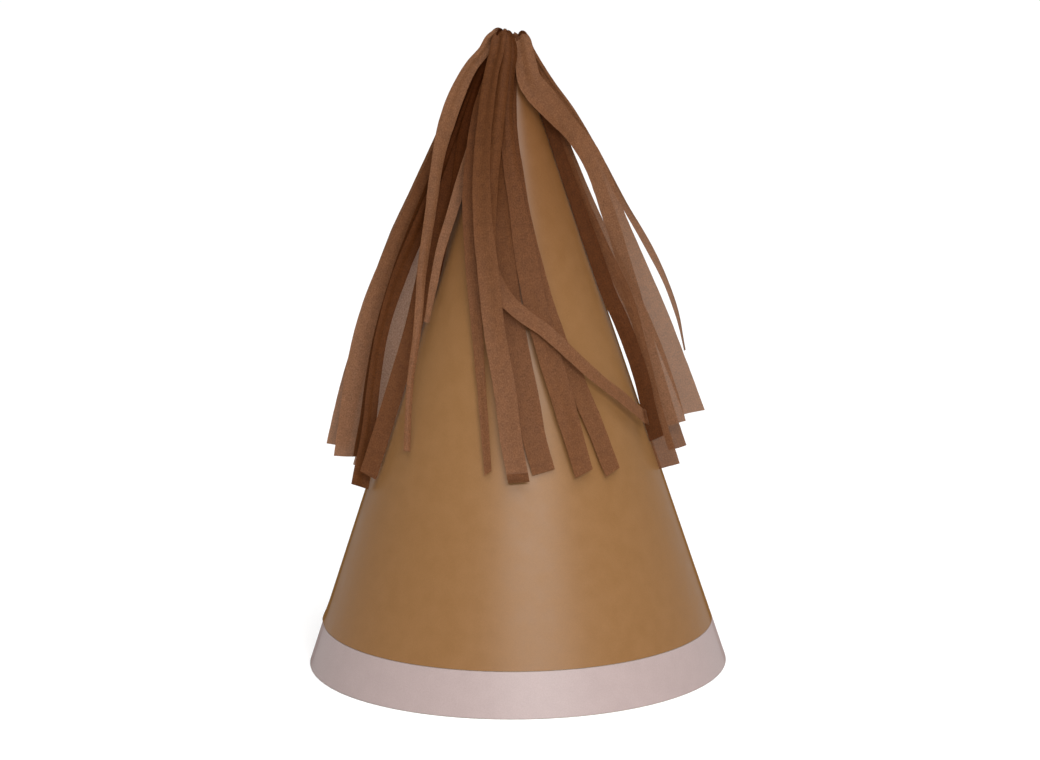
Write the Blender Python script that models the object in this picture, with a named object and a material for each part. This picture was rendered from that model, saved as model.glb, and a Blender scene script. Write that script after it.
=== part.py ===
"""New year party hat: a rolled card cone under a tan paper cover, with a rose paper band
round its rim and a tissue tassel that spills out of the tip and hangs down all round.

Metres, +Z up. The origin is the centre of the rim, on the plane that the hat stands on.
An azimuth is in degrees round +Z, from the front (-Y) towards the right (+X). A drop is a
height below the point where the cone's outer surface would meet its axis. A lift is the
distance out from the cone's surface, along the radius.
"""

import math
import random

import bmesh
import bpy
from mathutils import Vector

MM = 0.001

# Driving dimensions of the cone.
RIM_RADIUS = 57.5 * MM
APEX_HEIGHT = 173.5 * MM
TIP_DROP = 10.0 * MM
BAND_SLANT_WIDTH = 12.4 * MM
PAPER_THICKNESS = 0.15 * MM
CARD_THICKNESS = 0.35 * MM
TAPE_THICKNESS = 0.1 * MM
TAPE_END_GAP = 4.0 * MM
LAYER_GAP = 0.1 * MM
BUTT_GAP = 0.15 * MM
BAND_FLOOR_GAP = 0.2 * MM

# The rolled sheets: facets round the cone, and the overlap at the back.
FACETS = 96
FACET_ANGLE = 360 / FACETS
OVERLAP_FACETS = 4
RISE_FACETS = 7
INNER_EDGE_AZIMUTH = 180 - OVERLAP_FACETS * FACET_ANGLE / 2
COVER_START_FACETS = OVERLAP_FACETS + 0.2

# The punched holes for a chin elastic.
ELASTIC_HOLE_RADIUS = 1.5 * MM
ELASTIC_HOLE_SLANT = 15.0 * MM
ELASTIC_HOLE_AZIMUTH = 93
ELASTIC_HOLE_SIDES = 16
ELASTIC_HOLE_PIN_LENGTH = 8.0 * MM

# The tassel's fixed middle.
NECK_RADIUS = 1.6 * MM
NECK_TOP_DROP = 7.2 * MM
NECK_BOTTOM_DROP = 24.0 * MM
NECK_CHAMFER = 0.4 * MM
THREAD_RADIUS = 0.2 * MM
THREAD_TURNS = 3
THREAD_POINTS_PER_TURN = 12
THREAD_PITCH = 0.5 * MM
THREAD_TOP_DROP = 20.6 * MM
GLUE_TOP_DROP = 12.0 * MM
GLUE_BOTTOM_DROP = 19.0 * MM
GLUE_CARD_GAP = 1.55 * MM
CROWN_SHIFT = 1.6 * MM
CROWN_SHIFT_RADIUS = 4.4 * MM
TURNED_SIDES = 24

# The crown's profile as (radius, drop) in millimetres, from its top round to its underside.
CROWN_PROFILE = (
    (0, 0),
    (1.6, -0.3),
    (3.2, 0.3),
    (4.4, 1.4),
    (5.2, 2.6),
    (5.6, 3.8),
    (4.4, 3.9),
    (1.7, 4.4),
    (1.3, 6.8),
    (0, 6.8),
)

# The tassel's strips.
TISSUE_THICKNESS = 0.2 * MM
STRIP_SEGMENTS = 15
SPLINE_STEPS = 8

# The locks of the tassel lift on hinges at the crown's edge.
LOCK_HINGES = {
    "front_lock": (0, 6.0 * MM),
    "right_lock": (90, 4.6 * MM),
    "back_lock": (180, 6.0 * MM),
    "left_lock": (-90, 8.2 * MM),
}
HINGE_DROP = 3.9 * MM

HALF_ANGLE = math.atan2(RIM_RADIUS, APEX_HEIGHT)
RADIAL_STRETCH = 1 / math.cos(HALF_ANGLE)
BAND_TOP = BAND_SLANT_WIDTH * math.cos(HALF_ANGLE)
CARD_OFFSET = (PAPER_THICKNESS + LAYER_GAP) * RADIAL_STRETCH
FLAP_DIP = (CARD_THICKNESS + TAPE_THICKNESS + 2 * LAYER_GAP) * RADIAL_STRETCH
TAPE_OFFSET = CARD_OFFSET + (CARD_THICKNESS + LAYER_GAP) * RADIAL_STRETCH

# Each visible strip of the tassel: its lock, its route as (drop, azimuth, lift) in
# millimetres and degrees, its widths in millimetres and its rolls in degrees, both spread
# evenly from the top to the end. At roll 0 it lies flat on the cone, and at roll 90 it
# stands out from it.
STRIPS = {
    "left_arch_strip": (
        "left_lock",
        [(4.6, -75, 6.2), (9, -75, 8.6), (16, -75, 10.1), (25, -75, 10.5), (35, -75, 9.6),
         (48, -72, 7.7), (62, -67, 6.2), (78, -59, 4.6), (93, -55, 3.6), (109, -50, 1.8)],
        [3.2, 4.6, 3.2, 2.8, 2.4, 2.0, 1.8],
        [90, 90, 80, 70, 60],
    ),
    "left_outer_strip": (
        "left_lock",
        [(4.6, -99, 5), (9, -98, 7), (16, -97, 8.6), (30, -96, 10.2), (43, -96, 11.9),
         (57, -96, 13.6), (70, -96, 13.9), (85, -96, 13.5), (100, -96, 12.9), (114, -96, 11.6)],
        [2.6, 3.4, 3.2, 3.4, 4.0, 4.6, 4.6],
        [90],
    ),
    "left_broad_strip": (
        "left_lock",
        [(4.6, -91, 4.6), (9, -91, 6.4), (15, -91, 8.0), (29, -91, 9.1), (45, -91, 11.2),
         (62, -91, 13.4), (78, -91, 14.0), (92, -91, 12.6), (104, -91, 10.4), (116, -91, 8.2)],
        [2.6, 3.4, 3.0, 3.2, 4.2, 5.6, 6.4],
        [90],
    ),
    "left_dark_strip": (
        "left_lock",
        [(4.6, -84, 4.2), (9, -85, 5.6), (18, -85, 6.7), (34, -85, 7.4), (49, -85, 8.9),
         (65, -85, 9.9), (80, -85, 9.7), (93, -85, 8.2), (105, -85, 6), (115, -85, 4.6)],
        [2.6, 3.2, 3.2, 3.6, 4.4, 4.8, 5.0],
        [90],
    ),
    "left_folded_strip": (
        "left_lock",
        [(4.6, -78, 3.6), (10, -80, 4.5), (19, -80, 5.2), (34, -80, 6), (49, -80, 8.2),
         (65, -80, 10), (80, -80, 9.9), (95, -80, 7.6), (108, -79, 5), (122, -77, 3.2)],
        [2.4, 3.0, 3.0, 3.4, 3.8, 4.2, 4.4],
        [90],
    ),
    "left_pale_strip": (
        "left_lock",
        [(4.6, -107, 4.2), (10, -105, 4.8), (18, -103, 4.6), (34, -102, 4.3), (50, -102, 4.6),
         (66, -102, 4.9), (82, -102, 4.9), (98, -102, 4.4), (110, -102, 3.6), (121, -102, 3.2)],
        [2.4, 3.2, 3.6, 4.2, 4.8, 4.6, 4.4],
        [90],
    ),
    "left_middle_strip": (
        "left_lock",
        [(4.6, -72, 2.9), (11, -76, 3.6), (21, -76, 4), (42, -75, 4.4), (60, -73, 3.9),
         (78, -71, 3), (92, -70, 3.1), (105, -70, 3.2), (118, -71, 3.2)],
        [2.2, 2.6, 3.0, 3.6, 4.4, 4.8, 4.8],
        [80, 95, 105, 110],
    ),
    "left_inner_strip": (
        "left_lock",
        [(4.6, -60, 1.7), (11, -64, 1.3), (19, -65, 1.6), (33, -61.5, 2.6), (47, -60, 3.5),
         (57, -60, 3.9), (66, -58, 3.7), (76, -59, 2.4)],
        [1.2, 1.4, 2.2, 2.0, 1.8, 1.8, 2.0],
        [-30, -50, -50],
    ),
    "left_shade_strip": (
        "left_lock",
        [(4.6, -66, 3.1), (11, -69, 4.1), (19, -70, 4.5), (30, -69, 4.4), (40, -68, 3.3),
         (50, -67, 2.2), (60, -67, 1.2), (70, -68, 1)],
        [1.6, 2.4, 2.6, 2.4, 2.4, 2.4, 2.4],
        [90, 110, 140, 170, 180],
    ),
    "front_narrow_strip": (
        "front_lock",
        [(4.6, -46, 2.9), (9, -53, 2.8), (20, -58, 2.8), (30, -50, 2.9), (41, -42, 2.8),
         (54, -34, 2.4), (64, -28, 2), (78, -21, 1.8), (95, -15, 1.8), (112, -11, 1.6)],
        [2.4, 2.8, 2.6, 2.6, 2.4, 2.0, 1.8],
        [0],
    ),
    "front_main_strip": (
        "front_lock",
        [(4.6, -36, 5.6), (10, -38, 5.8), (20, -36, 5.6), (33, -31, 5.4), (46, -24, 5.3),
         (63, -15, 5.2), (77, -10, 4.4), (90, -5, 3.5), (103, -2, 2.8), (114, 1, 2.6)],
        [3.0, 4.0, 5.2, 5.8, 5.8, 5.8, 5.6],
        [0],
    ),
    "front_under_strip": (
        "front_lock",
        [(4.6, -22, 2.0), (12, -21, 1.9), (24, -20, 2.0), (36, -16, 2.0), (50, -10, 2.0),
         (66, -4, 2.0), (80, 1, 1.7), (95, 6, 1.3), (104, 8, 1.0), (112, 11, 1.0)],
        [2.8, 3.8, 5.0, 5.8, 6.0, 6.2, 6.2],
        [0],
    ),
    "front_ridge_strip": (
        "front_lock",
        [(4.6, -8, 3.2), (10, -8, 2.8), (20, -6, 2.7), (30, -2, 2.7), (41, 3, 2.7),
         (54, 8, 2.7), (69, 12, 2.6), (84, 18, 2.6), (98, 23, 2.4), (113, 27, 2.0)],
        [2.8, 3.6, 4.6, 5.6, 6.2, 6.4, 5.6],
        [0],
    ),
    "front_curved_strip": (
        "front_lock",
        [(4.6, 3, 1.3), (12, -2, 1.2), (24, -2, 1.2), (38, 5, 1.3), (53, 11, 1.3),
         (66, 17, 1.3), (78, 23, 1.2), (90, 31, 1.2), (102, 37, 1.2), (114, 41, 1.2)],
        [2.2, 2.6, 3.6, 5.0, 5.8, 5.8, 5.6],
        [0],
    ),
    "front_diagonal_strip": (
        "front_lock",
        [(4.6, -22, 4.6), (12, -22, 4.6), (20, -22, 4.5), (30, -22, 4.5), (42, -21, 4.5),
         (54, -18, 4.5), (61, -14, 4.5), (67, -6, 4.5), (71.5, 4, 4.5), (76, 16, 4.3),
         (83, 29, 4), (90, 42, 3.5), (95, 53, 3.2), (100, 63, 3.2), (103, 70, 3.4)],
        [2.8, 4.0, 5.0, 5.0, 4.6, 4.6, 4.4],
        [0],
    ),
    "right_broad_strip": (
        "right_lock",
        [(4.6, 77, 2.2), (8, 77, 2.8), (12, 79, 3.2), (18, 83, 4.4), (26, 87, 6.8),
         (36, 89, 9.4), (48, 91, 10.8), (62, 93, 11.4), (77, 94, 12.7), (91, 94, 13.6),
         (105, 94, 14.2)],
        [2.8, 5.0, 6.2, 6.6, 6.6, 6.0, 5.2],
        [90],
    ),
    "right_middle_strip": (
        "right_lock",
        [(4.6, 67, 2.3), (9, 70, 2.2), (16, 76, 2.4), (24, 82, 2.9), (33, 86, 3.2),
         (46, 87, 4.2), (61, 87, 5.8), (74, 87, 7.8), (86, 87, 8.6), (97, 87, 8.6), (107, 87, 8)],
        [2.4, 3.4, 4.2, 5.0, 5.6, 5.8, 5.8],
        [90],
    ),
    "right_rear_strip": (
        "right_lock",
        [(4.6, 106, 3), (9, 105, 3.7), (19, 104, 5.8), (30, 103, 8.4), (42, 102, 9.6),
         (54, 101, 9.6), (66, 100, 9), (79, 100, 8.2), (95, 100, 7.2), (106, 100, 6.8),
         (116, 100, 6.8)],
        [2.4, 3.2, 4.0, 4.4, 4.6, 4.8, 4.8],
        [90],
    ),
    "right_near_strip": (
        "right_lock",
        [(4.6, 57, 2.4), (10, 61, 2.1), (19, 71, 2.3), (31, 78, 2.8), (45, 81, 3.4),
         (58, 82, 4.6), (72, 82, 6.4), (84, 82, 5.6), (96, 82, 4.2), (107, 82, 3.3),
         (118, 82, 2.9)],
        [2.2, 2.6, 3.0, 3.6, 4.2, 5.0, 5.2],
        [80, 70, 80, 90, 90],
    ),
    "right_loose_strand": (
        "right_lock",
        [(4.6, 88, 3.0), (8, 90, 3.8), (14, 93, 5.7), (22, 95, 8.8), (34, 96, 11.8),
         (47, 96, 14.2), (58, 96, 16.8), (68, 96, 18.4), (78, 96, 18.6), (88, 96, 17.4)],
        [2.2, 1.8, 1.4, 1.4, 1.2, 0.8, 0.6],
        [90],
    ),
    "right_under_strip": (
        "right_lock",
        [(4.6, 45, 2.3), (11, 50, 1.9), (21, 62, 1.7), (34, 72, 1.9), (48, 76, 2.2),
         (62, 77, 2.5), (70, 77, 2.7), (78, 77, 3.7), (86, 78, 4), (94, 78, 3.9), (102, 79, 2.9),
         (110, 80, 2.3)],
        [1.8, 2.4, 3.0, 3.4, 3.4, 3.2, 3.2],
        [40, 60, 70, 70, 60],
    ),
    "right_skin_strip": (
        "right_lock",
        [(4.8, 98, 1.3), (12, 97, 1.1), (22, 96, 1.1), (36, 95, 1.1), (50, 94, 1.1), (62, 94, 1),
         (74, 95, 1)],
        [1.0, 1.2, 1.6, 2.0, 2.4, 2.8, 3.0],
        [0],
    ),
}

# The strips of the back lock lie in shingled layers, each with its own small drift.
BACK_STRIP_COUNT = 12
BACK_FIRST_AZIMUTH = 125
BACK_LAST_AZIMUTH = 236
BACK_LAYERS = 4
BACK_LOWEST_LIFT = 1.0
BACK_LAYER_PITCH = 0.65
BACK_TOP_FLARE = 1.3
BACK_FLARE_DROP = 16
BACK_DROPS = (4.6, 10, 20, 34, 50, 66, 82, 98)
BACK_END_DROP = (106, 120)
BACK_DRIFT = 5.0
BACK_WIDTHS = [2.0, 3.6, 5.0, 5.8, 6.0, 6.0, 5.8]
BACK_SEED = 31


def clear_scene():
    for thing in list(bpy.data.objects):
        bpy.data.objects.remove(thing, do_unlink=True)


def make_material(name, colour, roughness):
    material = bpy.data.materials.new(name)
    material.use_nodes = True
    shader = material.node_tree.nodes["Principled BSDF"]
    shader.inputs["Base Color"].default_value = (*colour, 1)
    shader.inputs["Roughness"].default_value = roughness
    shader.inputs["Metallic"].default_value = 0
    return material


def add_object(name, data, material, parent=None):
    thing = bpy.data.objects.new(name, data)
    data.materials.append(material)
    bpy.context.scene.collection.objects.link(thing)
    if parent:
        thing.parent = parent
        thing.matrix_parent_inverse = parent.matrix_world.inverted()
    return thing


def finish_mesh(name, shape, sharp_degrees=35):
    """Turns the bmesh into a mesh whose faces point out, smooth except at sharp edges."""
    bmesh.ops.recalc_face_normals(shape, faces=shape.faces)
    mesh = bpy.data.meshes.new(name)
    shape.to_mesh(mesh)
    shape.free()
    mesh.shade_smooth()
    mesh.set_sharp_from_angle(angle=math.radians(sharp_degrees))
    return mesh


def cone_radius(z):
    return RIM_RADIUS * (1 - z / APEX_HEIGHT)


def outward(azimuth):
    angle = math.radians(azimuth)
    return Vector((math.sin(angle), -math.cos(angle), 0))


def sideways(azimuth):
    angle = math.radians(azimuth)
    return Vector((math.cos(angle), math.sin(angle), 0))


def on_cone(drop, azimuth, lift):
    z = APEX_HEIGHT - drop
    return outward(azimuth) * (cone_radius(z) + lift) + Vector((0, 0, z))


def loft(rings):
    """A closed body through rings of corners, with its first and last ring capped."""
    shape = bmesh.new()
    loops = [[shape.verts.new(corner) for corner in ring] for ring in rings]
    for low, high in zip(loops, loops[1:]):
        for index in range(len(low)):
            following = (index + 1) % len(low)
            shape.faces.new((low[index], low[following], high[following], high[index]))
    shape.faces.new(loops[0])
    shape.faces.new(loops[-1])
    return shape


def dip(facets):
    """How far the sheet lies inside the cone, counted in facets from its inner edge."""
    if facets <= OVERLAP_FACETS:
        return FLAP_DIP
    rise = min((facets - OVERLAP_FACETS) / RISE_FACETS, 1)
    return FLAP_DIP * (1 + math.cos(math.pi * rise)) / 2


def rolled_sheet(name, stations, levels, offset, thickness, dips=dip):
    """A conical sheet through the stations, which count facets from the card's inner edge."""
    rings = []
    for facets in stations:
        direction = outward(INNER_EDGE_AZIMUTH + facets * FACET_ANGLE)
        outer = -offset - dips(facets)
        inner = outer - thickness * RADIAL_STRETCH
        corners = [(z, outer) for z in levels] + [(z, inner) for z in reversed(levels)]
        ring = [direction * (cone_radius(z) + out) + Vector((0, 0, z)) for z, out in corners]
        rings.append(ring)
    shape = loft(rings)
    bmesh.ops.triangulate(shape, faces=shape.faces, quad_method="SHORT_EDGE")
    return finish_mesh(name, shape)


def turned(name, profile, shift=0, lean=None):
    """A turned body, from a profile of (radius, height) whose ends may lie on the axis."""
    shape = bmesh.new()
    loops = []
    for radius, z in profile:
        if radius == 0:
            loops.append([shape.verts.new((shift, 0, z))])
            continue
        loop = []
        for side in range(TURNED_SIDES):
            corner = outward(side * 360 / TURNED_SIDES) * radius
            if lean:
                corner = corner + Vector((lean(corner.x, radius), 0, 0))
            loop.append(shape.verts.new((corner.x + shift, corner.y, z)))
        loops.append(loop)
    for above, below in zip(loops, loops[1:]):
        for side in range(TURNED_SIDES):
            following = (side + 1) % TURNED_SIDES
            corners = [above[side % len(above)], above[following % len(above)]]
            corners += [below[following % len(below)], below[side % len(below)]]
            shape.faces.new(list(dict.fromkeys(corners)))
    return finish_mesh(name, shape)


def ring_body(name, profile):
    """A turned ring, from a closed profile of (radius, height)."""
    rings = []
    for side in range(TURNED_SIDES):
        direction = outward(side * 360 / TURNED_SIDES)
        rings.append([direction * radius + Vector((0, 0, z)) for radius, z in profile])
    shape = bmesh.new()
    loops = [[shape.verts.new(corner) for corner in ring] for ring in rings]
    for side in range(TURNED_SIDES):
        near = loops[side]
        far = loops[(side + 1) % TURNED_SIDES]
        for index in range(len(profile)):
            following = (index + 1) % len(profile)
            shape.faces.new((near[index], near[following], far[following], far[index]))
    return finish_mesh(name, shape)


def punch_cutters():
    """Two pins across the cone's wall, where the chin elastic's holes are punched."""
    cutters = []
    for side in (-1, 1):
        azimuth = side * ELASTIC_HOLE_AZIMUTH
        height = ELASTIC_HOLE_SLANT * math.cos(HALF_ANGLE)
        normal = outward(azimuth) * math.cos(HALF_ANGLE) + Vector((0, 0, math.sin(HALF_ANGLE)))
        shape = bmesh.new()
        bmesh.ops.create_cone(
            shape,
            cap_ends=True,
            segments=ELASTIC_HOLE_SIDES,
            radius1=ELASTIC_HOLE_RADIUS,
            radius2=ELASTIC_HOLE_RADIUS,
            depth=ELASTIC_HOLE_PIN_LENGTH,
        )
        mesh = finish_mesh("elastic_hole_pin", shape)
        cutter = bpy.data.objects.new("elastic_hole_pin", mesh)
        bpy.context.scene.collection.objects.link(cutter)
        cutter.location = on_cone(APEX_HEIGHT - height, azimuth, 0)
        cutter.rotation_euler = normal.to_track_quat("Z", "Y").to_euler()
        cutter.hide_render = True
        cutter.display_type = "WIRE"
        cutters.append(cutter)
    return cutters


def punch(thing, cutters):
    for cutter in cutters:
        cut = thing.modifiers.new("elastic_hole", "BOOLEAN")
        cut.operation = "DIFFERENCE"
        cut.object = cutter


def build_cone(materials, parent):
    all_stations = range(FACETS + OVERLAP_FACETS + 1)
    outside_stations = [COVER_START_FACETS, *range(OVERLAP_FACETS + 1, FACETS + OVERLAP_FACETS + 1)]
    tape_stations = range(1, OVERLAP_FACETS)
    tip_height = APEX_HEIGHT - TIP_DROP
    cutters = punch_cutters()

    card_levels = (0, BAND_TOP, tip_height)
    card = rolled_sheet("card_cone", all_stations, card_levels, CARD_OFFSET, CARD_THICKNESS)
    punch(add_object("card_cone", card, materials["card"], parent), cutters)

    cover_levels = (BAND_TOP + BUTT_GAP, tip_height)
    cover = rolled_sheet("cover_paper", outside_stations, cover_levels, 0, PAPER_THICKNESS)
    punch(add_object("cover_paper", cover, materials["tan_paper"], parent), cutters)

    band_levels = (BAND_FLOOR_GAP, BAND_TOP)
    band = rolled_sheet("rim_band", outside_stations, band_levels, 0, PAPER_THICKNESS)
    add_object("rim_band", band, materials["rose_paper"], parent)

    def no_dip(facets):
        """The tape lies just inside the outer flap, which keeps to the cone."""
        return 0

    tape_levels = (TAPE_END_GAP, tip_height - TAPE_END_GAP)
    tape = rolled_sheet(
        "seam_tape", tape_stations, tape_levels, TAPE_OFFSET, TAPE_THICKNESS, no_dip
    )
    add_object("seam_tape", tape, materials["tape"], parent)


def build_tassel_middle(materials, parent):
    neck_top = APEX_HEIGHT - NECK_TOP_DROP
    neck_bottom = APEX_HEIGHT - NECK_BOTTOM_DROP
    neck_profile = [
        (0, neck_top),
        (NECK_RADIUS, neck_top),
        (NECK_RADIUS, neck_bottom + NECK_CHAMFER),
        (NECK_RADIUS - NECK_CHAMFER, neck_bottom),
        (0, neck_bottom),
    ]
    neck = turned("tassel_neck", neck_profile)
    add_object("tassel_neck", neck, materials["tissue"], parent)

    crown_profile = [(radius * MM, APEX_HEIGHT - drop * MM) for radius, drop in CROWN_PROFILE]

    def bulge_left(x, radius):
        """Pushes the outer part of the crown over to the left."""
        return -CROWN_SHIFT * min(radius / CROWN_SHIFT_RADIUS, 1) ** 2

    crown = turned("tassel_crown", crown_profile, lean=bulge_left)
    add_object("tassel_crown", crown, materials["tissue"], parent)

    glue_profile = []
    for drop in (GLUE_TOP_DROP, GLUE_BOTTOM_DROP):
        z = APEX_HEIGHT - drop
        glue_profile.append((cone_radius(z) - GLUE_CARD_GAP, z))
    for drop in (GLUE_BOTTOM_DROP, GLUE_TOP_DROP):
        glue_profile.append((NECK_RADIUS + LAYER_GAP, APEX_HEIGHT - drop))
    add_object("glue_plug", ring_body("glue_plug", glue_profile), materials["glue"], parent)

    count = THREAD_TURNS * THREAD_POINTS_PER_TURN + 1
    curve = bpy.data.curves.new("neck_thread", "CURVE")
    curve.dimensions = "3D"
    curve.bevel_depth = THREAD_RADIUS
    curve.bevel_resolution = 1
    curve.use_fill_caps = True
    spline = curve.splines.new("POLY")
    spline.points.add(count - 1)
    for index in range(count):
        turns = index / THREAD_POINTS_PER_TURN
        place = outward(360 * turns) * (NECK_RADIUS + THREAD_RADIUS + LAYER_GAP)
        height = APEX_HEIGHT - THREAD_TOP_DROP - turns * THREAD_PITCH
        spline.points[index].co = (place.x, place.y, height, 1)
    add_object("neck_thread", curve, materials["thread"], parent)


def spread(values, share):
    """The value at this share of the way along evenly spread values."""
    if len(values) == 1:
        return values[0]
    place = share * (len(values) - 1)
    index = min(int(place), len(values) - 2)
    return values[index] + (values[index + 1] - values[index]) * (place - index)


def smooth_route(route):
    """Points at even distances along a Catmull-Rom curve through the route's places."""
    places = [Vector(place) for place in route]
    places = [2 * places[0] - places[1], *places, 2 * places[-1] - places[-2]]
    dense = []
    for before, here, there, after in zip(places, places[1:], places[2:], places[3:]):
        for step in range(SPLINE_STEPS):
            t = step / SPLINE_STEPS
            slope = there - before
            bend = 2 * before - 5 * here + 4 * there - after
            twist = 3 * (here - there) + after - before
            dense.append((2 * here + t * slope + t * t * bend + t**3 * twist) / 2)
    dense.append(places[-2])
    points = [on_cone(place.x * MM, place.y, place.z * MM) for place in dense]
    lengths = [0]
    for near, far in zip(points, points[1:]):
        lengths.append(lengths[-1] + (far - near).length)
    stations = []
    index = 0
    for number in range(STRIP_SEGMENTS + 1):
        wanted = lengths[-1] * number / STRIP_SEGMENTS
        while index < len(lengths) - 2 and lengths[index + 1] < wanted:
            index += 1
        share = (wanted - lengths[index]) / (lengths[index + 1] - lengths[index])
        azimuth = dense[index].y + (dense[index + 1].y - dense[index].y) * share
        stations.append((points[index].lerp(points[index + 1], share), azimuth))
    return stations


def strip_mesh(name, route, widths, rolls):
    """A thin ribbon along the route."""
    stations = smooth_route(route)
    rings = []
    for index, (place, azimuth) in enumerate(stations):
        share = index / STRIP_SEGMENTS
        before = stations[max(index - 1, 0)][0]
        after = stations[min(index + 1, STRIP_SEGMENTS)][0]
        along = (after - before).normalized()
        roll = math.radians(spread(rolls, share))
        across = sideways(azimuth) * math.cos(roll) + outward(azimuth) * math.sin(roll)
        across = (across - along * across.dot(along)).normalized()
        through = along.cross(across) * TISSUE_THICKNESS / 2
        across = across * spread(widths, share) * MM / 2
        corners = (across + through, through - across, -across - through, across - through)
        rings.append([place + corner for corner in corners])
    return finish_mesh(name, loft(rings))


def back_strips():
    """The back lock's strips, as rows like those of STRIPS."""
    chance = random.Random(BACK_SEED)
    rows = {}
    for number in range(BACK_STRIP_COUNT):
        share = number / (BACK_STRIP_COUNT - 1)
        azimuth = BACK_FIRST_AZIMUTH + (BACK_LAST_AZIMUTH - BACK_FIRST_AZIMUTH) * share
        lift = BACK_LOWEST_LIFT + BACK_LAYER_PITCH * (number * 3 % BACK_LAYERS)
        drift = chance.uniform(-BACK_DRIFT, BACK_DRIFT)
        sway = chance.uniform(-BACK_DRIFT, BACK_DRIFT) / 2
        end = chance.uniform(*BACK_END_DROP)
        route = []
        for drop in (*BACK_DROPS, end):
            along = drop / end
            turn = drift * along + sway * math.sin(math.tau * along)
            flare = BACK_TOP_FLARE * max(1 - drop / BACK_FLARE_DROP, 0)
            route.append((drop, azimuth + turn, lift + flare))
        rows[f"back_strip_{number + 1}"] = ("back_lock", route, BACK_WIDTHS, [0])
    return rows


def build_locks(materials):
    hinges = {}
    for lock, (azimuth, radius) in LOCK_HINGES.items():
        hinge = bpy.data.objects.new(lock + "_hinge", None)
        hinge.location = outward(azimuth) * radius + Vector((0, 0, APEX_HEIGHT - HINGE_DROP))
        hinge.empty_display_size = 4 * MM
        bpy.context.scene.collection.objects.link(hinge)
        hinges[lock] = hinge
    bpy.context.view_layer.update()
    for name, (lock, route, widths, rolls) in {**STRIPS, **back_strips()}.items():
        mesh = strip_mesh(name, route, widths, rolls)
        add_object(name, mesh, materials["tissue"], hinges[lock])


def main():
    clear_scene()
    materials = {
        "card": make_material("grey_card", (0.52, 0.47, 0.4), 0.85),
        "tan_paper": make_material("tan_satin_paper", (0.33, 0.16, 0.065), 0.38),
        "rose_paper": make_material("rose_satin_paper", (0.55, 0.42, 0.4), 0.45),
        "tape": make_material("clear_tape", (0.75, 0.72, 0.62), 0.3),
        "tissue": make_material("brown_tissue", (0.21, 0.09, 0.04), 0.7),
        "glue": make_material("cream_glue", (0.75, 0.68, 0.5), 0.35),
        "thread": make_material("cotton_thread", (0.6, 0.5, 0.38), 0.9),
    }
    hat = bpy.data.objects.new("hat", None)
    bpy.context.scene.collection.objects.link(hat)
    build_cone(materials, hat)
    build_tassel_middle(materials, hat)
    build_locks(materials)


main()
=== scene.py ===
"""The looks of the new year party hat: satin tan paper over a rolled card cone, a pale rose
band round the rim, and a tassel of thin brown tissue strips that fold over the tip.

Metres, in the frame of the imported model. An azimuth is in degrees round +Z, from the front
(-Y) towards the right (+X). A drop is a height below the point where the cone's outer
surface would meet its axis. A lift is the distance out from the cone, along the radius.
"""

import math
import random

import bmesh
import bpy
from mathutils import Matrix, Vector, noise


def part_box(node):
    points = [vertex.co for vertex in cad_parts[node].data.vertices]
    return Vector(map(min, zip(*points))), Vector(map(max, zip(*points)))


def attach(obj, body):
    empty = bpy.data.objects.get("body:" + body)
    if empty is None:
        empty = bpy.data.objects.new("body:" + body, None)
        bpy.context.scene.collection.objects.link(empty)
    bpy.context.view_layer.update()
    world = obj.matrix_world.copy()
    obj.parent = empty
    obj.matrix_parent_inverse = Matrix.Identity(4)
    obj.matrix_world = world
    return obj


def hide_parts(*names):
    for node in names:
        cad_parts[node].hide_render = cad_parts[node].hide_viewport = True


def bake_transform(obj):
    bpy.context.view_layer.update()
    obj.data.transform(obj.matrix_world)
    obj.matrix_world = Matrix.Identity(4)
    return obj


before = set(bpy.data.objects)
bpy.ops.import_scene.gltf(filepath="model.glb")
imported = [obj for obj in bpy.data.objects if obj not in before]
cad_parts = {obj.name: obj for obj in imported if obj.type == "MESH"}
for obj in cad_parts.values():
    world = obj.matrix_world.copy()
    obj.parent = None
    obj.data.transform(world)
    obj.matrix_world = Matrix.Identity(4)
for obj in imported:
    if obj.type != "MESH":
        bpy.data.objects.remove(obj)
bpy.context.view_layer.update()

MM = 0.001


def frame_cone():
    """The cone's rim radius and apex height, from the band's and the cover's boxes."""
    band_low, band_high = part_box("rim_band")
    cover_low, cover_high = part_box("cover_paper")
    slope = (band_high.x - cover_high.x) / (cover_low.z - band_low.z)
    rim_radius = band_high.x + slope * band_low.z
    return rim_radius, rim_radius / slope


RIM_RADIUS, APEX_HEIGHT = frame_cone()
HALF_ANGLE = math.atan2(RIM_RADIUS, APEX_HEIGHT)
RADIAL_STRETCH = 1 / math.cos(HALF_ANGLE)
BAND_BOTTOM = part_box("rim_band")[0].z
BAND_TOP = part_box("rim_band")[1].z
COVER_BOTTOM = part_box("cover_paper")[0].z
TIP_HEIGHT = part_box("cover_paper")[1].z

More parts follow.
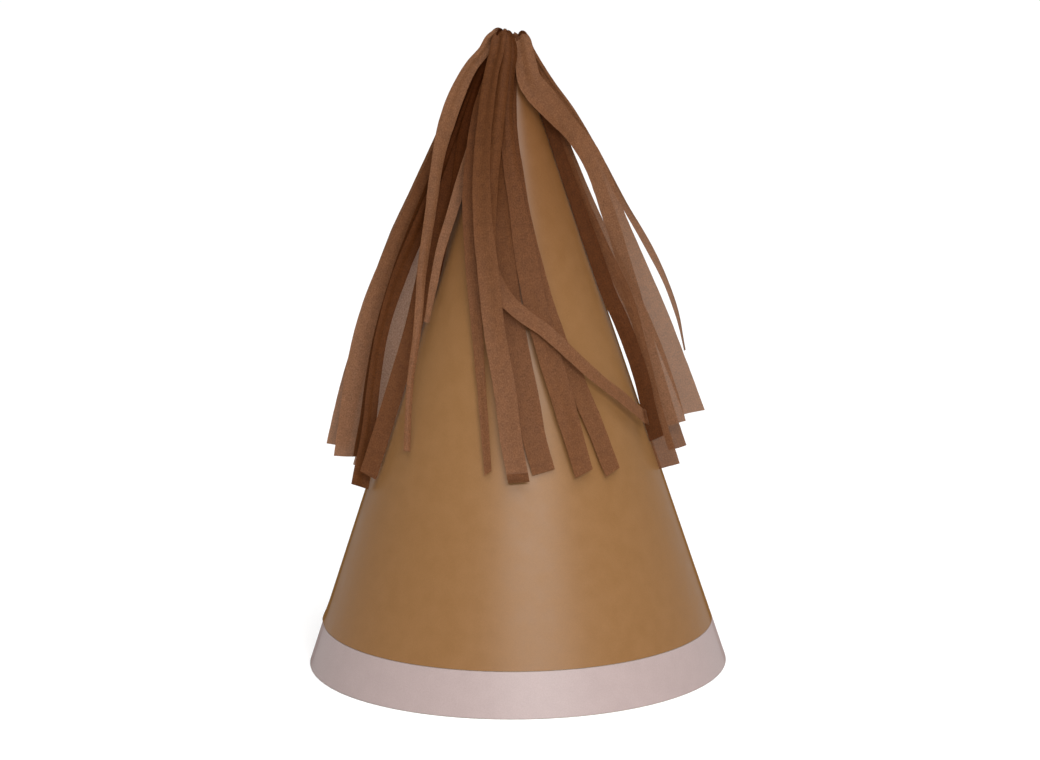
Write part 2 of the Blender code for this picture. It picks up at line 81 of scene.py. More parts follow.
# The rolled sheets.
PAPER_THICKNESS = 0.15 * MM
CARD_THICKNESS = 0.35 * MM
LAYER_GAP = 0.1 * MM
TAPE_THICKNESS = 0.1 * MM
OVERLAP_DEGREES = 15
RISE_DEGREES = 26.25
COVER_START_DEGREES = 15.75
INNER_EDGE_AZIMUTH = 180 - OVERLAP_DEGREES / 2
CARD_OFFSET = (PAPER_THICKNESS + LAYER_GAP) * RADIAL_STRETCH
FLAP_DIP = (CARD_THICKNESS + TAPE_THICKNESS + 2 * LAYER_GAP) * RADIAL_STRETCH
SHEET_STEP_DEGREES = 1.25
ELASTIC_HOLE_RADIUS = 1.5 * MM
ELASTIC_HOLE_SLANT = 15.0 * MM
ELASTIC_HOLE_AZIMUTH = 93
EDGE_LIFT = 0.36 * MM
EDGE_LIFT_AZIMUTH = 2 - ELASTIC_HOLE_AZIMUTH
EDGE_LIFT_DEGREES = 5.5
EDGE_LIFT_HEIGHT = 2.6 * MM
COVER_LEVELS = 26
COVER_FINENESS = 0.6
BAND_LEVELS = 6
CARD_LEVELS = 20

# The heights over which painted shade from the tassel comes into the tan paper's colour, in full above the
# higher one.
PAINTED_SHADE_FROM = 75 * MM
PAINTED_SHADE_TO = 155 * MM
# The papers' gloss falls between these two facings, where 0 is face on and 1 is edge-on, to a
# share of itself. This is set for the look from the front. Real coated paper does not do it.
GLOSS_FALLS_FROM = 0.35
GLOSS_FALLS_TO = 0.85
EDGE_GLOSS = 0.0
# The gloss of tissue at a painted tone of 1. It falls with painted shade where strips lie
# deep in the tassel, and rises with painted light.
TISSUE_GLOSS = 0.2
# A Mix node's colour sockets, by index, because its other sockets have the same names.
MIX_FACTOR = 0
MIX_A = 6
MIX_B = 7
MIX_RESULT = 2

# The tissue strips.
STEPS_PER_SEGMENT = 8
COLUMNS = 10
TOP_FADE_DROP = 40.0
THIN_FROM_DROP = 25
THIN_REACH = 55
# Painted shade on a strip's folded end, and how soon a strip's painted tone reaches its end value.
FOLDED_END_PAINTED_SHADE = 0.72
PAINTED_TONE_RISE = 1.2
# A painted tone is kept as a colour: painted shade under 1, painted light over 1. Each power
# says how fast its red, green and blue fall with it, so painted shade deepens in hue too.
PAINTED_TONE_POWERS = (1, 1.4, 2.0)
GATHER_TONE_POWERS = (1, 1.2, 1.4)

# The fine shape of every strip. Lengths and depths are in millimetres.
RIPPLE_LENGTH = (9, 16)
RIPPLE_DEPTH = (0.05, 0.12)
GATHERED_PLEAT_DEPTH = 0.3
PLEAT_RATE = 4.5
DRIFT_DEPTH = 0.25
DRIFT_LENGTH = 11
RAGGED_SHARE = 0.03
RAGGED_LENGTH = 2.5
END_SLANT = 0.5
END_SHARE = 0.03
FOLDED_END_PROUD = 0.3

# The tassel leaves the tip in two halves. Each has a middle, in millimetres from the axis.
LEFT_HALF = -2.8
RIGHT_HALF = 1.7
CREST_REACH = 0.9
LEFT_CREST_DROP = -0.35
RIGHT_CREST_DROP = 0.35
CREST_DROP_SPREAD = 0.7
THROAT_DROP = 7.0
THROAT_WIDTH = 1.2
SHOULDER_OUT = 0.55
SHOULDER_DOWN = 0.32

# Each visible strip: its lock, its route as (drop, azimuth, lift) in millimetres and degrees,
# its widths in millimetres and its rolls in degrees, both spread evenly from the top to the
# end. Then its shape: how far it curls, how deep its crease is and where, how long its
# folded end is and how deep its pleats are, in millimetres. Last its painted tone at the top
# and at the end, and how thin it is. A painted tone is a brightness painted into the tissue:
# under 1 it is painted shade where tissue lies double or deep in the tassel, and over 1 it
# is painted light where the tissue lies single in the light.
STRIPS = {
    "left_arch_strip": (
        "left_lock",
        [(4.6, -75, 6.2), (9, -75, 8.6), (16, -75, 10.1), (25, -75, 10.5), (35, -75, 9.6),
         (48, -72, 7.7), (62, -67, 6.2), (78, -59, 4.6), (93, -55, 3.6), (109, -50, 1.8)],
        [3.2, 4.6, 3.2, 2.8, 2.2, 1.9, 1.8],
        [90, 90, 100, 110, 120],
        (0.4, 0.0, 0.0, 0.0, 0),
        (0.95, 1.0, 0.4),
    ),
    "left_outer_strip": (
        "left_lock",
        [(4.6, -99, 5), (9, -98, 7), (16, -97, 8.6), (30, -96, 10.2), (43, -96, 11.9),
         (57, -96, 13.6), (70, -96, 13.9), (85, -96, 13.5), (100, -96, 12.9), (114, -96, 11.6)],
        [2.6, 3.4, 3.8, 4.4, 5.2, 6.0, 6.2],
        [90],
        (-0.4, 0.3, 0.2, 0.0, 0),
        (0.66, 1.2, 0.3),
    ),
    "left_broad_strip": (
        "left_lock",
        [(4.6, -91, 4.6), (9, -91, 6.4), (15, -91, 8), (29, -91, 9.1), (45, -91, 11.2),
         (62, -91, 13.4), (78, -91, 14), (92, -91, 12.6), (104, -91, 10.4), (116, -91, 8.2)],
        [2.6, 3.6, 4.0, 4.8, 5.8, 6.4, 6.6],
        [90],
        (0.4, 0.2, -0.3, 0.0, 0.08),
        (0.34, 1.15, 0.2),
    ),
    "left_dark_strip": (
        "left_lock",
        [(4.6, -84, 4.2), (9, -85, 5.6), (18, -85, 6.7), (34, -85, 7.4), (49, -85, 8.9),
         (65, -85, 9.9), (80, -85, 9.7), (93, -85, 8.2), (105, -85, 6), (115, -85, 4.6)],
        [2.6, 3.6, 4.2, 4.2, 3.8, 3.6, 4.0],
        [90],
        (-0.4, 0.5, 0.1, 0.0, 0.12),
        (0.26, 0.6, 0.0),
    ),
    "left_folded_strip": (
        "left_lock",
        [(4.6, -78, 3.6), (10, -80, 4.5), (19, -80, 5.2), (34, -80, 6), (49, -80, 8.2),
         (65, -80, 10), (80, -80, 9.9), (95, -80, 7.6), (108, -79, 5), (122, -77, 3.2)],
        [2.4, 3.8, 4.4, 4.2, 3.4, 3.6, 5.0],
        [90],
        (0.3, 0.6, -0.2, 0.0, 0.1),
        (0.24, 0.56, 0.0),
    ),
    "left_pale_strip": (
        "left_lock",
        [(4.6, -107, 4.2), (10, -105, 4.8), (18, -103, 4.6), (34, -102, 4.3), (50, -102, 4.6),
         (66, -102, 4.9), (82, -102, 4.9), (98, -102, 4.4), (110, -102, 3.6), (121, -102, 3.2)],
        [2.4, 4.0, 5.6, 6.4, 6.6, 6.6, 6.0],
        [90],
        (0.3, 0.0, 0.0, 0.0, 0),
        (1.9, 1.6, 0.35),
    ),
    "left_middle_strip": (
        "left_lock",
        [(4.6, -72, 2.9), (11, -76, 3.6), (21, -76, 4), (42, -75, 4.4), (60, -73, 3.9),
         (78, -71, 3), (92, -70, 3.1), (105, -70, 3.2), (118, -71, 3.2)],
        [2.2, 4.0, 5.0, 5.0, 4.6, 4.8, 4.8],
        [80, 90, 100, 108, 110, 112],
        (0.3, 0.3, 0.2, 0.0, 0.1),
        (0.2, 0.7, 0.0),
    ),
    "left_inner_strip": (
        "left_lock",
        [(4.6, -58, 1.7), (11, -61, 1.4), (19, -62, 1.9), (33, -61, 2.8), (47, -60, 3.5),
         (57, -60, 3.9), (66, -58, 3.7), (76, -59, 2.4)],
        [1.2, 2.0, 2.8, 3.0, 2.6, 2.2, 1.4],
        [-40, -60, -60],
        (0.2, 0.0, 0.0, 0.0, 0),
        (0.95, 1.1, 0.6),
    ),
    "left_shade_strip": (
        "left_lock",
        [(4.6, -66, 3.1), (11, -69, 4.1), (19, -70, 4.5), (30, -69, 4.4), (40, -68, 3.3),
         (50, -67, 2.2), (60, -67, 1.2), (70, -68, 1)],
        [2.2, 3.6, 4.2, 3.6, 3.0, 2.8, 2.6],
        [90, 110, 140, 170, 180],
        (0.2, 0.3, 0.3, 0.0, 0.05),
        (0.2, 0.4, 0.0),
    ),
    "front_narrow_strip": (
        "front_lock",
        [(4.6, -46, 2.9), (9, -53, 2.8), (20, -58, 2.8), (30, -50, 2.9), (41, -42, 2.8),
         (54, -34, 2.4), (64, -28, 2), (78, -21, 1.8), (95, -15, 1.8), (112, -11, 1.6)],
        [4.4, 5.4, 5.4, 3.8, 3.0, 2.4, 2.0],
        [-40, -50, -30, 0, 0],
        (0.25, 0.25, 0.3, 0.0, 0),
        (0.5, 0.9, 0.2),
    ),
    "front_main_strip": (
        "front_lock",
        [(4.6, -36, 5.6), (10, -38, 5.8), (20, -36, 5.6), (33, -31, 5.4), (46, -24, 5.3),
         (63, -15, 5.2), (77, -10, 4.4), (90, -5, 3.5), (103, -2, 2.8), (114, 1, 2.6)],
        [4.6, 5.0, 5.4, 5.8, 5.8, 5.8, 5.6],
        [0],
        (0.25, 0.15, 0.5, 2.4, 0),
        (0.6, 1.0, 0.2),
    ),
    "front_under_strip": (
        "front_lock",
        [(4.6, -22, 2), (12, -21, 1.9), (24, -20, 2), (36, -16, 2), (50, -10, 2), (66, -4, 2),
         (80, 1, 1.7), (95, 6, 1.3), (104, 8, 1), (112, 11, 1)],
        [2.8, 3.8, 5.0, 5.8, 6.0, 6.2, 6.2],
        [0],
        (0.2, 0.1, 0.0, 0.0, 0),
        (0.5, 0.85, 0.1),
    ),
    "front_ridge_strip": (
        "front_lock",
        [(4.6, -10, 3.2), (10, -13, 2.8), (20, -12, 2.6), (30, -6, 2.6), (41, 1, 2.6), (54, 7, 2.6),
         (69, 12, 2.6), (84, 18, 2.6), (98, 23, 2.4), (113, 27, 2)],
        [4.2, 3.4, 4.2, 6.0, 6.4, 6.4, 5.6],
        [0],
        (0.25, 0.35, -0.2, 0.0, 0),
        (0.55, 0.85, 0.1),
    ),
    "front_curved_strip": (
        "front_lock",
        [(4.6, 3, 1.3), (12, -2, 0.9), (24, -2, 0.8), (38, 5, 0.9), (53, 11, 1.1), (66, 17, 1.3),
         (78, 23, 1.2), (90, 31, 1.2), (102, 37, 1.2), (114, 41, 1.2)],
        [2.2, 2.6, 3.6, 5.0, 5.8, 5.8, 5.6],
        [0],
        (0.2, 0.2, 0.1, 0.0, 0),
        (0.5, 0.9, 0.1),
    ),
    "front_diagonal_strip": (
        "front_lock",
        [(4.6, -22, 4.6), (12, -22, 4.6), (20, -22, 4.5), (30, -22, 4.5), (42, -21, 4.5),
         (54, -18, 4.5), (61, -14, 4.5), (67, -6, 4.5), (71.5, 4, 4.5), (76, 16, 4.3),
         (83, 29, 4), (90, 42, 3.5), (95, 53, 3.2), (100, 63, 3.2), (103, 70, 3.4)],
        [4.4, 4.6, 4.6, 4.4, 3.8, 3.6, 4.4],
        [0],
        (0.25, 0.2, -0.4, 1.6, 0),
        (0.58, 1.0, 0.3),
    ),
    "right_broad_strip": (
        "right_lock",
        [(4.6, 36, 3.2), (8, 34, 3.6), (12, 33, 4), (15, 42, 4.5), (18, 53, 5.1), (22, 65, 6.1),
         (26, 76, 7.3), (31, 83, 9), (36, 86, 10), (42, 88, 10.3), (50, 90, 10.3),
         (62, 93, 11.3), (77, 94, 12.7), (91, 94, 13.6), (105, 94, 14.2)],
        [5.4, 7.0, 6.0, 5.8, 6.2, 6.4, 6.4, 6.0, 5.8],
        [38, 40, 80, 88, 90, 90],
        (0.3, 0.1, 0.2, 0.0, 0),
        (0.9, 1.05, 1.0),
    ),
    "right_middle_strip": (
        "right_lock",
        [(4.6, 80, 2.4), (9, 84, 2.4), (16, 86, 2.6), (24, 87, 3), (33, 87, 3.3), (46, 87, 4.2),
         (61, 87, 5.8), (74, 87, 7.8), (86, 87, 8.6), (97, 87, 8.6), (107, 87, 8)],
        [2.4, 3.6, 4.2, 4.6, 5.0, 5.6, 6.0],
        [90],
        (0.3, 0.2, -0.2, 0.0, 0),
        (0.62, 1.1, 0.8),
    ),
    "right_rear_strip": (
        "right_lock",
        [(4.6, 106, 3), (9, 105, 3.7), (19, 104, 5.8), (30, 103, 8.4), (42, 102, 9.6),
         (54, 101, 9.6), (66, 100, 9), (79, 100, 8.2), (95, 100, 7.2), (106, 100, 6.8),
         (116, 100, 6.8)],
        [2.4, 3.2, 3.4, 3.8, 4.6, 5.2, 5.2],
        [90],
        (-0.3, 0.2, 0.0, 0.0, 0),
        (0.5, 0.85, 0.5),
    ),
    "right_near_strip": (
        "right_lock",
        [(4.6, 70, 2.2), (10, 76, 2), (19, 79, 2.3), (31, 81, 2.8), (45, 82, 3.4), (58, 82, 4.6),
         (72, 82, 6.4), (84, 82, 5.6), (96, 82, 4.2), (107, 82, 3.3), (118, 82, 2.9)],
        [2.0, 2.6, 3.4, 3.8, 4.2, 5.2, 6.0],
        [75, 80, 80, 85, 85],
        (0.25, 0.3, 0.4, 0.0, 0),
        (0.5, 0.82, 0.5),
    ),
    "right_loose_strand": (
        "right_lock",
        [(4.6, 88, 3), (8, 90, 3.8), (14, 93, 5.7), (22, 95, 8.8), (34, 96, 11.8),
         (47, 96, 14.2), (58, 96, 16.8), (68, 96, 18.4), (78, 96, 18.6), (88, 96, 17.4)],
        [2.2, 1.8, 1.6, 1.7, 2.0, 1.4, 0.5],
        [90],
        (0.2, 0.0, 0.0, 0.0, 0),
        (0.8, 1.0, 0.6),
    ),
    "right_under_strip": (
        "right_lock",
        [(4.6, 64, 1.8), (11, 72, 1.5), (21, 76, 1.6), (34, 77, 1.9), (48, 77, 2.2),
         (62, 77, 2.5), (70, 77, 2.7), (78, 77, 3.7), (86, 78, 4), (94, 78, 3.9), (102, 79, 2.9),
         (110, 80, 2.3)],
        [2.2, 2.8, 3.4, 4.0, 4.2, 4.2, 4.0],
        [70, 70, 72, 75, 75],
        (0.2, 0.3, 0.0, 0.0, 0),
        (0.42, 0.46, 0.0),
    ),
    "right_skin_strip": (
        "right_lock",
        [(4.8, 98, 1.3), (12, 97, 1.1), (22, 96, 1.1), (36, 95, 1.1), (50, 94, 1.1), (62, 94, 1),
         (74, 95, 1)],
        [1.0, 1.2, 1.6, 2.0, 2.4, 2.8, 3.0],
        [0],
        (0.15, 0.0, 0.0, 0.0, 0),
        (0.35, 0.55, 0.0),
    ),
}

# The gathered skin of each half of the tassel.
GATHER_SIDES = 72
GATHER_PLEATS = 9
# A painted shade over the whole gathered skin.
GATHER_PAINTED_SHADE = 0.5
GATHER_FOLD_SHARE = 0.16
GATHER_DENT_SHARE = 0.2
GATHER_SAG = 0.25
GATHER_THROAT_RADIUS = 0.4

# The strips of the back lock lie in shingled layers, each with its own small drift.
BACK_STRIP_COUNT = 12
BACK_FIRST_AZIMUTH = 125
BACK_LAST_AZIMUTH = 236
BACK_LAYERS = 4
BACK_LOWEST_LIFT = 1.0
BACK_LAYER_PITCH = 0.65
BACK_TOP_FLARE = 1.3
BACK_FLARE_DROP = 16
BACK_DROPS = (4.6, 10, 20, 34, 50, 66, 82, 98)
BACK_END_DROP = (106, 120)
BACK_DRIFT = 5.0
BACK_WIDTHS = [3.4, 4.4, 5.2, 5.8, 6.0, 6.0, 5.8]
BACK_SEED = 31
BACK_SHAPE = (0.2, 0.15, 0.2, 0.0, 0.0)
# The back strips' painted tone at the top and at the end, painted shade under 1, and how thin they are.
BACK_PAINTED_TONE = (0.75, 1.0, 0.5)


# ---------------------------------------------------------------- geometry helpers


def cone_radius(z):
    return RIM_RADIUS * (1 - z / APEX_HEIGHT)


def outward(azimuth):
    angle = math.radians(azimuth)
    return Vector((math.sin(angle), -math.cos(angle), 0))


def sideways(azimuth):
    angle = math.radians(azimuth)
    return Vector((math.cos(angle), math.sin(angle), 0))


def on_cone(drop, azimuth, lift):
    """A point of a route, from millimetres and degrees."""
    z = APEX_HEIGHT - drop * MM
    return outward(azimuth) * (cone_radius(z) + lift * MM) + Vector((0, 0, z))


def smoothstep(value):
    value = min(max(value, 0), 1)
    return value * value * (3 - 2 * value)


def link(name, mesh, body, material):
    """Adds a piece that rides on a body."""
    piece = bpy.data.objects.new(name, mesh)
    bpy.context.scene.collection.objects.link(piece)
    mesh.materials.append(material)
    if body:
        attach(piece, body)
    return piece


def shade(mesh, sharp_degrees=40):
    mesh.shade_smooth()
    mesh.set_sharp_from_angle(angle=math.radians(sharp_degrees))


# ---------------------------------------------------------------- materials


def new_material(name, roughness, specular=0.5):
    """A material with its Principled shader and a helper that adds and joins nodes."""
    material = bpy.data.materials.new(name)
    material.use_nodes = True
    tree = material.node_tree
    shader = tree.nodes["Principled BSDF"]
    shader.inputs["Roughness"].default_value = roughness
    shader.inputs["Specular IOR Level"].default_value = specular

    def add(kind, inputs=(), **settings):
        node = tree.nodes.new(kind)
        for key, value in settings.items():
            setattr(node, key, value)
        for key, value in dict(inputs).items():
            if isinstance(value, bpy.types.NodeSocket):
                tree.links.new(value, node.inputs[key])
            else:
                node.inputs[key].default_value = value
        return node

    return material, tree, shader, add


def colour_ramp(node, stops):
    """Sets a Color Ramp's stops from (position, colour) pairs."""
    elements = node.color_ramp.elements
    while len(elements) > len(stops):
        elements.remove(elements[-1])
    while len(elements) < len(stops):
        elements.new(1)
    for element, (position, colour) in zip(elements, stops):
        element.position = position
        element.color = (*colour, 1)


def bump_chain(add, layers):
    """Bump nodes one after another, from (height, strength, distance) layers."""
    normal = None
    for height, strength, distance in layers:
        inputs = {"Height": height, "Strength": strength, "Distance": distance}
        if normal:
            inputs["Normal"] = normal
        normal = add("ShaderNodeBump", inputs).outputs["Normal"]
    return normal


def noise_range(add, value, low, high):
    """Maps the values that a noise texture mostly keeps between onto low to high."""
    return add("ShaderNodeMapRange", {"Value": value, "From Min": 0.3, "From Max": 0.7,
                                      "To Min": low, "To Max": high}).outputs["Result"]


def paper_material(name, base, dark, light, roughness, specular, tooth, tip=(1, 1, 1)):
    """Coated paper: faint cloudy formation, fine fibre specks, and a paper tooth bump.

    Towards the tip, where the tassel shades it, shade is painted in by multiplying the colour
    by tip, and the paper loses its gloss where it is seen edge-on.
    """
    material, tree, shader, add = new_material(name, roughness, specular)
    place = add("ShaderNodeTexCoord").outputs["Object"]
    cloud = add("ShaderNodeTexNoise", {"Vector": place, "Scale": 260, "Detail": 5}).outputs["Fac"]
    grain = add("ShaderNodeTexNoise", {"Vector": place, "Scale": 3200, "Detail": 3}).outputs["Fac"]
    ramp = add("ShaderNodeValToRGB", {"Fac": cloud})
    colour_ramp(ramp, [(0.3, dark), (0.5, base), (0.72, light)])
    speck = noise_range(add, grain, 0.95, 1.05)
    tinted = add("ShaderNodeMix", {"Factor": 1.0}, data_type="RGBA", blend_type="MULTIPLY")
    tree.links.new(speck, tinted.inputs[MIX_B])
    tree.links.new(ramp.outputs["Color"], tinted.inputs[MIX_A])
    # Painted shade: the colour is multiplied by tip more and more towards the tip, where the tassel shades
    # it.
    height = add("ShaderNodeSeparateXYZ", {"Vector": place}).outputs["Z"]
    climb = add("ShaderNodeMapRange", {"Value": height, "From Min": PAINTED_SHADE_FROM,
                                       "From Max": PAINTED_SHADE_TO}, interpolation_type="SMOOTHSTEP")
    deep = add("ShaderNodeMix", data_type="RGBA", blend_type="MULTIPLY")
    deep.inputs[MIX_B].default_value = (*tip, 1)
    tree.links.new(climb.outputs["Result"], deep.inputs[MIX_FACTOR])
    tree.links.new(tinted.outputs[MIX_RESULT], deep.inputs[MIX_A])
    tree.links.new(deep.outputs[MIX_RESULT], shader.inputs["Base Color"])
    facing = add("ShaderNodeLayerWeight", {"Blend": 0.5}).outputs["Facing"]
    gloss = add("ShaderNodeMapRange", {
        "Value": facing, "From Min": GLOSS_FALLS_FROM, "From Max": GLOSS_FALLS_TO,
        "To Min": specular, "To Max": EDGE_GLOSS * specular,
    })
    tree.links.new(gloss.outputs["Result"], shader.inputs["Specular IOR Level"])
    wear = noise_range(add, cloud, roughness - 0.03, roughness + 0.04)
    tree.links.new(wear, shader.inputs["Roughness"])
    normal = bump_chain(add, [(cloud, 0.06, 0.4 * MM), (grain, tooth, 0.03 * MM)])
    tree.links.new(normal, shader.inputs["Normal"])
    return material


def card_material():
    """Grey board: short dark and light fibres in a soft matt base."""
    material, tree, shader, add = new_material("grey_board", 0.88, 0.3)
    place = add("ShaderNodeTexCoord").outputs["Object"]
    stretch = add("ShaderNodeMapping", {"Vector": place, "Scale": (1, 1, 0.35)})
    fibre = add("ShaderNodeTexNoise", {"Vector": stretch.outputs["Vector"], "Scale": 900,
                                       "Detail": 8, "Roughness": 0.7})
    speck = add("ShaderNodeTexVoronoi", {"Vector": stretch.outputs["Vector"], "Scale": 700})
    ramp = add("ShaderNodeValToRGB", {"Fac": fibre.outputs["Fac"]})
    colour_ramp(ramp, [(0.3, (0.3, 0.26, 0.2)), (0.5, (0.5, 0.45, 0.37)), (0.75, (0.62, 0.57, 0.49))])
    tree.links.new(ramp.outputs["Color"], shader.inputs["Base Color"])
    normal = bump_chain(add, [(fibre.outputs["Fac"], 0.3, 0.08 * MM),
                              (speck.outputs["Distance"], 0.1, 0.05 * MM)])
    tree.links.new(normal, shader.inputs["Normal"])
    return material


def tissue_material(name, reflect, through, opacity, glow):
    """Thin tissue: cloudy fibres along each strip, part seen through and part lit through.

    The painted tone of a strip paints shade and light into its colour, its gloss and the light
    through it, and the tone's alpha thins it.
    """
    material, tree, shader, add = new_material(name, 0.65, TISSUE_GLOSS)
    place = add("ShaderNodeUVMap", uv_map="strip").outputs["UV"]
    along = add("ShaderNodeMapping", {"Vector": place, "Scale": (1, 0.75, 1)}).outputs["Vector"]
    fibre = add("ShaderNodeTexNoise", {"Vector": along, "Scale": 27, "Detail": 4,
                                       "Roughness": 0.6, "Distortion": 0.2}).outputs["Fac"]
    cloud = add("ShaderNodeTexNoise", {"Vector": place, "Scale": 5, "Detail": 4}).outputs["Fac"]
    crepe = add("ShaderNodeTexWave", {"Vector": along, "Scale": 6, "Distortion": 5,
                                      "Detail": 3, "Detail Scale": 2.5}).outputs["Fac"]
    ramp = add("ShaderNodeValToRGB", {"Fac": fibre})
    dark = tuple(0.72 * value for value in reflect)
    light = tuple(min(1.3 * value + 0.012, 1) for value in reflect)
    colour_ramp(ramp, [(0.3, dark), (0.5, reflect), (0.74, light)])
    patch = noise_range(add, cloud, 0.86, 1.12)
    # The painted tone: painted shade and painted light, with how thin the tissue is as alpha.
    tone = add("ShaderNodeAttribute", attribute_name="tone")
    patched = add("ShaderNodeVectorMath", {0: ramp.outputs["Color"]}, operation="SCALE")
    tree.links.new(patch, patched.inputs["Scale"])
    tinted = add("ShaderNodeVectorMath", {0: patched.outputs["Vector"], 1: tone.outputs["Color"]},
                 operation="MULTIPLY")
    tree.links.new(tinted.outputs["Vector"], shader.inputs["Base Color"])
    gloss = add("ShaderNodeMath", {0: tone.outputs["Fac"], 1: TISSUE_GLOSS}, operation="MULTIPLY")
    tree.links.new(gloss.outputs["Value"], shader.inputs["Specular IOR Level"])
    normal = bump_chain(add, [(crepe, 0.05, 0.1 * MM), (fibre, 0.2, 0.04 * MM)])
    tree.links.new(normal, shader.inputs["Normal"])

    lit = add("ShaderNodeBsdfTranslucent", {"Normal": normal})
    lit_colour = add("ShaderNodeVectorMath", {1: through}, operation="MULTIPLY")
    spread_fibre = noise_range(add, fibre, 0.75, 1.2)
    lit_tone = add("ShaderNodeVectorMath", {0: tone.outputs["Color"]}, operation="SCALE")
    tree.links.new(spread_fibre, lit_tone.inputs["Scale"])
    tree.links.new(lit_tone.outputs["Vector"], lit_colour.inputs[0])
    tree.links.new(lit_colour.outputs["Vector"], lit.inputs["Color"])
    body = add("ShaderNodeMixShader", {"Fac": glow})
    tree.links.new(shader.outputs["BSDF"], body.inputs[1])
    tree.links.new(lit.outputs["BSDF"], body.inputs[2])

    clear = add("ShaderNodeBsdfTransparent", {"Color": (1.0, 0.93, 0.83, 1)})
    gaps = noise_range(add, fibre, 1.3 * (1 - opacity), 0.7 * (1 - opacity))
    gaps = add("ShaderNodeMath", {0: gaps, 1: tone.outputs["Alpha"]}, operation="MULTIPLY")
    cover = add("ShaderNodeMath", {0: 1.0, 1: gaps.outputs["Value"]}, operation="SUBTRACT")
    seen = add("ShaderNodeMixShader")
    tree.links.new(cover.outputs["Value"], seen.inputs["Fac"])
    tree.links.new(clear.outputs["BSDF"], seen.inputs[1])
    tree.links.new(body.outputs["Shader"], seen.inputs[2])
    output = tree.nodes["Material Output"]
    tree.links.new(seen.outputs["Shader"], output.inputs["Surface"])
    return material


def glue_material():
    """Hot-melt glue: cloudy, glossy and a little translucent."""
    material, tree, shader, add = new_material("cream_glue", 0.3, 0.5)
    place = add("ShaderNodeTexCoord").outputs["Object"]
    cloud = add("ShaderNodeTexNoise", {"Vector": place, "Scale": 600, "Detail": 3})
    ramp = add("ShaderNodeValToRGB", {"Fac": cloud.outputs["Fac"]})
    colour_ramp(ramp, [(0.3, (0.62, 0.53, 0.36)), (0.7, (0.78, 0.71, 0.55))])
    tree.links.new(ramp.outputs["Color"], shader.inputs["Base Color"])
    shader.inputs["Subsurface Weight"].default_value = 0.2
    shader.inputs["Subsurface Scale"].default_value = 1.0 * MM
    normal = bump_chain(add, [(cloud.outputs["Fac"], 0.5, 0.3 * MM)])
    tree.links.new(normal, shader.inputs["Normal"])
    return material


def thread_material(name, dark, light):
    """Cotton thread, or tissue rolled tight: fine twisted plies."""
    material, tree, shader, add = new_material(name, 0.9, 0.2)
    place = add("ShaderNodeTexCoord").outputs["Object"]
    ply = add("ShaderNodeTexWave", {"Vector": place, "Scale": 1400, "Distortion": 2},
              bands_direction="DIAGONAL")
    ramp = add("ShaderNodeValToRGB", {"Fac": ply.outputs["Fac"]})
    colour_ramp(ramp, [(0.2, dark), (0.8, light)])
    tree.links.new(ramp.outputs["Color"], shader.inputs["Base Color"])
    normal = bump_chain(add, [(ply.outputs["Fac"], 0.6, 0.06 * MM)])
    tree.links.new(normal, shader.inputs["Normal"])
    return material


def tape_material():
    """Clear tape: a yellowish film with fine stretch lines."""
    material, tree, shader, add = new_material("clear_tape", 0.22, 0.5)
    place = add("ShaderNodeTexCoord").outputs["Object"]
    lines = add("ShaderNodeTexNoise", {"Vector": place, "Scale": 1500, "Detail": 2})
    ramp = add("ShaderNodeValToRGB", {"Fac": lines.outputs["Fac"]})
    colour_ramp(ramp, [(0.3, (0.62, 0.58, 0.46)), (0.7, (0.75, 0.71, 0.6))])
    tree.links.new(ramp.outputs["Color"], shader.inputs["Base Color"])
    normal = bump_chain(add, [(lines.outputs["Fac"], 0.1, 0.05 * MM)])
    tree.links.new(normal, shader.inputs["Normal"])
    return material


# ---------------------------------------------------------------- the cone


def dip(degrees):
    """How far the sheet lies inside the cone, counted in degrees from its inner edge."""
    rise = smoothstep((degrees - OVERLAP_DEGREES) / RISE_DEGREES)
    return FLAP_DIP * (1 - rise)


def edge_lift(azimuth, z):
    """The tan paper's lower edge stands a little proud by the left elastic hole."""
    turn = (azimuth - EDGE_LIFT_AZIMUTH) / EDGE_LIFT_DEGREES
    climb = (z - COVER_BOTTOM) / EDGE_LIFT_HEIGHT
    return EDGE_LIFT * math.exp(-turn * turn - climb * climb)


def rolled_sheet(name, start, levels, offset, thickness, lift=None):
    """A closed conical sheet from start to the outer flap's edge, in degrees."""
    last = 360 + OVERLAP_DEGREES
    columns = round((last - start) / SHEET_STEP_DEGREES)
    points = []
    for column in range(columns + 1):
        degrees = start + (last - start) * column / columns
        azimuth = INNER_EDGE_AZIMUTH + degrees
        turned = (azimuth + 180) % 360 - 180
        direction = outward(azimuth)
        for inner in (False, True):
            heights = reversed(levels) if inner else levels
            for z in heights:
                radius = cone_radius(z) - offset - dip(degrees)
                radius -= thickness * RADIAL_STRETCH if inner else 0
                radius += lift(turned, z) if lift else 0
                points.append(direction * radius + Vector((0, 0, z)))
    ring = 2 * len(levels)
    faces = []
    for column in range(columns):
        for index in range(ring):
            following = (index + 1) % ring
            low = column * ring
            faces.append((low + index, low + following, low + ring + following, low + ring + index))
    faces.append(tuple(reversed(range(ring))))
    faces.append(tuple(columns * ring + index for index in range(ring)))
    mesh = bpy.data.meshes.new(name)
    mesh.from_pydata(points, [], faces)
    shape = bmesh.new()
    shape.from_mesh(mesh)
    bmesh.ops.recalc_face_normals(shape, faces=shape.faces)
    shape.to_mesh(mesh)
    shape.free()
    shade(mesh)
    return mesh


def levels_between(low, high, count, fine=0.0):
    """Heights from low to high, closer together near low where fine is over 0."""
    shares = [index / count for index in range(count + 1)]
    return [low + (high - low) * share ** (1 + fine) for share in shares]


